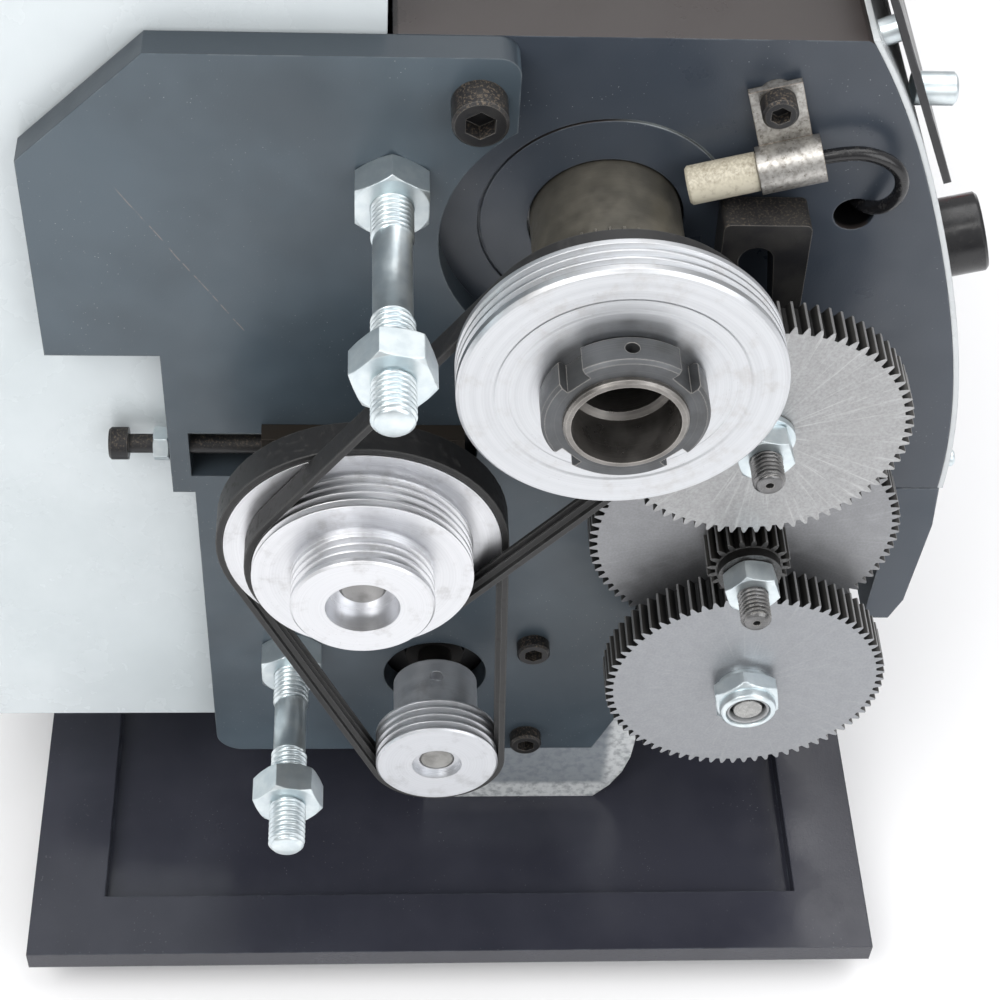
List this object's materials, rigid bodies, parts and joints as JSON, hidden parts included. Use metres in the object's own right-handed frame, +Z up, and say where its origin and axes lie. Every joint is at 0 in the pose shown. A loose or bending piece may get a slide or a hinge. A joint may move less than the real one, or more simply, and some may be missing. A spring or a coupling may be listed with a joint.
{
  "type": "metal lathe",
  "caption": "Bench metal lathe with its drive cover off: stepped belt pulleys, change gears and leadscrew at the left end, chuck, carriage and tailstock on a vee-way bed.",
  "frame": {"origin": "centre of the lathe's footprint, on the bench, under the rubber feet", "axes": "+X along the bed from the headstock to the tailstock, +Y away from the operator, +Z up"},
  "size_m": [0.7944, 0.32, 0.3625],
  "materials": {
    "painted_iron": "satin, fine specks",
    "plate_paint": "satin, scratched",
    "tray_paint": "gloss",
    "guard_paint": "gloss",
    "panel_grey": "satin",
    "panel_black": "satin",
    "turned_aluminium": "satin, turned",
    "clip_aluminium": "dull",
    "zinc": "bright zinc",
    "black_oxide": "black oxide",
    "milled_steel": "milled",
    "dark_steel": "oiled",
    "ground_steel": "ground",
    "tool_post_steel": "black oxide",
    "block_bronze": "dark phosphate",
    "bracket_iron": "painted",
    "motor_paint": "matte",
    "wheel_chrome": "polished",
    "belt_rubber": "ribbed",
    "feet_rubber": "matte",
    "sensor_plastic": "cream",
    "cable_black": "sheath",
    "knob_black": "gloss",
    "stop_red": "gloss",
    "guard_clear": "clear"
  },
  "bodies": {
    "frame": {"bed": "painted_iron", "rack": "ground_steel", "chip_tray": "tray_paint", "rubber_feet": "feet_rubber", "headstock_casting": "painted_iron", "lower_front_housing": "painted_iron", "spindle_bearings": "ground_steel", "motor_plate": "plate_paint", "motor_housing": "motor_paint", "rear_guard": "guard_paint", "cover_studs": "zinc", "bright_fasteners": "zinc", "socket_screws": "black_oxide", "gear_banjo": "black_oxide", "gear_studs": "milled_steel", "speed_sensor": "sensor_plastic", "sensor_clip": "clip_aluminium", "sensor_cable": "cable_black", "front_panel": "panel_grey", "label_panel": "panel_black", "drive_belts": "belt_rubber", "leadscrew_brackets": "bracket_iron"},
    "spindle_assembly": {"spindle": "dark_steel", "spindle_gear": "dark_steel", "spindle_pulley": "turned_aluminium", "spindle_ring_nut": "black_oxide", "chuck_body": "ground_steel"},
    "jaw_1": {"chuck_jaw_1": "ground_steel"},
    "jaw_2": {"chuck_jaw_2": "ground_steel"},
    "jaw_3": {"chuck_jaw_3": "ground_steel"},
    "belt_tensioner": {"tensioner_block": "block_bronze"},
    "idler": {"idler_pulley": "turned_aluminium"},
    "belt_screw": {"tension_screw": "black_oxide"},
    "motor_rotor": {"motor_shaft": "dark_steel", "motor_pulley": "turned_aluminium"},
    "stud_1_gears": {"upper_change_gear": "milled_steel"},
    "stud_2_gears": {"compound_gear": "milled_steel", "compound_pinion": "milled_steel"},
    "leadscrew_assembly": {"leadscrew": "ground_steel", "leadscrew_gear": "milled_steel", "leadscrew_nut": "zinc"},
    "carriage": {"saddle": "painted_iron", "apron": "painted_iron"},
    "carriage_wheel": {"apron_handwheel": "wheel_chrome"},
    "half_nut_control": {"half_nut_lever": "wheel_chrome"},
    "half_nut_slide": {"half_nut": "ground_steel"},
    "cross_slide_unit": {"cross_slide": "ground_steel"},
    "cross_wheel": {"cross_slide_wheel": "wheel_chrome"},
    "compound_swivel": {"compound_base": "ground_steel"},
    "compound_top": {"top_slide": "ground_steel"},
    "compound_handwheel": {"compound_wheel": "wheel_chrome"},
    "turret": {"tool_post": "tool_post_steel"},
    "turret_lever": {"tool_post_lever": "wheel_chrome"},
    "tailstock": {"tailstock_body": "painted_iron"},
    "tail_quill": {"quill": "ground_steel"},
    "tail_wheel": {"tailstock_wheel": "wheel_chrome"},
    "quill_clamp": {"tailstock_lever": "wheel_chrome"},
    "guard": {"chuck_guard": "guard_clear"},
    "speed_control": {"speed_knob": "knob_black"},
    "stop_control": {"stop_button": "stop_red"}
  },
  "joints": [
    {"name": "spindle_spin", "type": "hinge", "parent": "frame", "child": "spindle_assembly", "pos_m": [-0.31475, -0.03, 0.2675], "axis": [1, 0, 0], "continuous": true},
    {"name": "jaw_1_slide", "type": "slide", "parent": "spindle_assembly", "child": "jaw_1", "axis": [0, 0, 1], "range_m": [-0.004, 0.012]},
    {"name": "jaw_2_slide", "type": "slide", "parent": "spindle_assembly", "child": "jaw_2", "axis": [0, -0.866, -0.5], "range_m": [-0.004, 0.012]},
    {"name": "jaw_3_slide", "type": "slide", "parent": "spindle_assembly", "child": "jaw_3", "axis": [0, 0.866, -0.5], "range_m": [-0.004, 0.012]},
    {"name": "tensioner_slide", "type": "slide", "parent": "frame", "child": "belt_tensioner", "axis": [0, 1, 0], "range_m": [-0.003, 0.006], "deforming": ["drive_belts"]},
    {"name": "idler_spin", "type": "hinge", "parent": "belt_tensioner", "child": "idler", "pos_m": [-0.31475, 0.0276, 0.1917], "axis": [1, 0, 0], "continuous": true},
    {"name": "belt_screw_turn", "type": "hinge", "parent": "belt_tensioner", "child": "belt_screw", "pos_m": [-0.31875, 0.0885, 0.1917], "axis": [0, 1, 0], "range_deg": [-1350.5, 2700.5]},
    {"name": "motor_spin", "type": "hinge", "parent": "frame", "child": "motor_rotor", "pos_m": [-0.31475, 0.0065, 0.0957], "axis": [1, 0, 0], "continuous": true},
    {"name": "stud_1_spin", "type": "hinge", "parent": "frame", "child": "stud_1_gears", "pos_m": [-0.31475, -0.06927, 0.22828], "axis": [1, 0, 0], "continuous": true},
    {"name": "stud_2_spin", "type": "hinge", "parent": "frame", "child": "stud_2_gears", "pos_m": [-0.31475, -0.0727, 0.1784], "axis": [1, 0, 0], "continuous": true},
    {"name": "leadscrew_spin", "type": "hinge", "parent": "frame", "child": "leadscrew_assembly", "pos_m": [-0.31475, -0.0775, 0.13114], "axis": [1, 0, 0], "continuous": true},
    {"name": "carriage_slide", "type": "slide", "parent": "frame", "child": "carriage", "axis": [1, 0, 0], "range_m": [-0.025, 0.12]},
    {"name": "carriage_wheel_turn", "type": "hinge", "parent": "carriage", "child": "carriage_wheel", "pos_m": [-0.00775, -0.11, 0.1465], "axis": [0, 1, 0], "range_deg": [-1375.6, 286.98]},
    {"name": "half_nut_lever_turn", "type": "hinge", "parent": "carriage", "child": "half_nut_control", "pos_m": [0.07025, -0.11, 0.13114], "axis": [0, 1, 0], "range_deg": [-40, 0]},
    {"name": "half_nut_lift", "type": "slide", "parent": "carriage", "child": "half_nut_slide", "axis": [0, 0, 1], "range_m": [0, 0.003]},
    {"name": "cross_slide_travel", "type": "slide", "parent": "carriage", "child": "cross_slide_unit", "axis": [0, 1, 0], "range_m": [-0.015, 0.05]},
    {"name": "cross_wheel_turn", "type": "hinge", "parent": "carriage", "child": "cross_wheel", "pos_m": [0.04025, -0.122, 0.1815], "axis": [0, 1, 0], "range_deg": [-2700.5, 9000.5]},
    {"name": "compound_turn", "type": "hinge", "parent": "cross_slide_unit", "child": "compound_swivel", "pos_m": [0.04025, -0.03, 0.2035], "axis": [0, 0, 1], "range_deg": [-45, 45]},
    {"name": "top_slide_travel", "type": "slide", "parent": "compound_swivel", "child": "compound_top", "axis": [1, 0, 0], "range_m": [-0.03, 0.007]},
    {"name": "compound_wheel_turn", "type": "hinge", "parent": "compound_swivel", "child": "compound_handwheel", "pos_m": [0.10225, -0.03, 0.2189], "axis": [1, 0, 0], "range_deg": [-7200.5, 1680.5]},
    {"name": "tool_post_turn", "type": "hinge", "parent": "compound_top", "child": "turret", "pos_m": [0.02825, -0.03, 0.2525], "axis": [0, 0, 1], "continuous": true},
    {"name": "tool_post_lever_turn", "type": "hinge", "parent": "compound_top", "child": "turret_lever", "pos_m": [0.02825, -0.03, 0.2795], "axis": [0, 0, 1], "range_deg": [-60, 100]},
    {"name": "tailstock_slide", "type": "slide", "parent": "frame", "child": "tailstock", "axis": [1, 0, 0], "range_m": [-0.1, 0.03]},
    {"name": "quill_travel", "type": "slide", "parent": "tailstock", "child": "tail_quill", "axis": [1, 0, 0], "range_m": [-0.05, 0]},
    {"name": "tail_wheel_turn", "type": "hinge", "parent": "tailstock", "child": "tail_wheel", "pos_m": [0.34725, -0.03, 0.2675], "axis": [1, 0, 0], "range_deg": [-9000.5, 0.5]},
    {"name": "quill_clamp_turn", "type": "hinge", "parent": "tailstock", "child": "quill_clamp", "pos_m": [0.26325, -0.03, 0.2975], "axis": [0, 0, 1], "range_deg": [-50, 50]},
    {"name": "chuck_guard_hinge", "type": "hinge", "parent": "frame", "child": "guard", "pos_m": [-0.12775, 0.04, 0.2975], "axis": [1, 0, 0], "range_deg": [-80, 0]},
    {"name": "speed_knob_turn", "type": "hinge", "parent": "frame", "child": "speed_control", "pos_m": [-0.29275, -0.1203, 0.2427], "axis": [0, -0.9613, 0.2756], "range_deg": [-150, 120]},
    {"name": "stop_button_press", "type": "slide", "parent": "frame", "child": "stop_control", "axis": [0, 0.9563, -0.2924], "range_m": [0, 0.004], "stiffness_N_per_m": 900, "springref_m": -0.002}
  ],
  "couplings": [
    {"joint": "jaw_2_slide", "follows": "jaw_1_slide", "ratio": 1},
    {"joint": "jaw_3_slide", "follows": "jaw_1_slide", "ratio": 1},
    {"joint": "idler_spin", "follows": "spindle_spin", "ratio": 1.0903},
    {"joint": "motor_spin", "follows": "spindle_spin", "ratio": 2.193},
    {"joint": "stud_1_spin", "follows": "spindle_spin", "ratio": -0.54167},
    {"joint": "stud_2_spin", "follows": "spindle_spin", "ratio": 0.13542},
    {"joint": "leadscrew_spin", "follows": "spindle_spin", "ratio": -0.036111},
    {"joint": "belt_screw_turn", "follows": "tensioner_slide", "rad_per_m": 7854},
    {"joint": "carriage_wheel_turn", "follows": "carriage_slide", "rad_per_m": -200},
    {"joint": "half_nut_lift", "follows": "half_nut_lever_turn", "m_per_rad": -0.0042972},
    {"joint": "cross_wheel_turn", "follows": "cross_slide_travel", "rad_per_m": 3141.6},
    {"joint": "compound_wheel_turn", "follows": "top_slide_travel", "rad_per_m": 4188.8},
    {"joint": "tail_wheel_turn", "follows": "quill_travel", "rad_per_m": 3141.6}
  ]
}
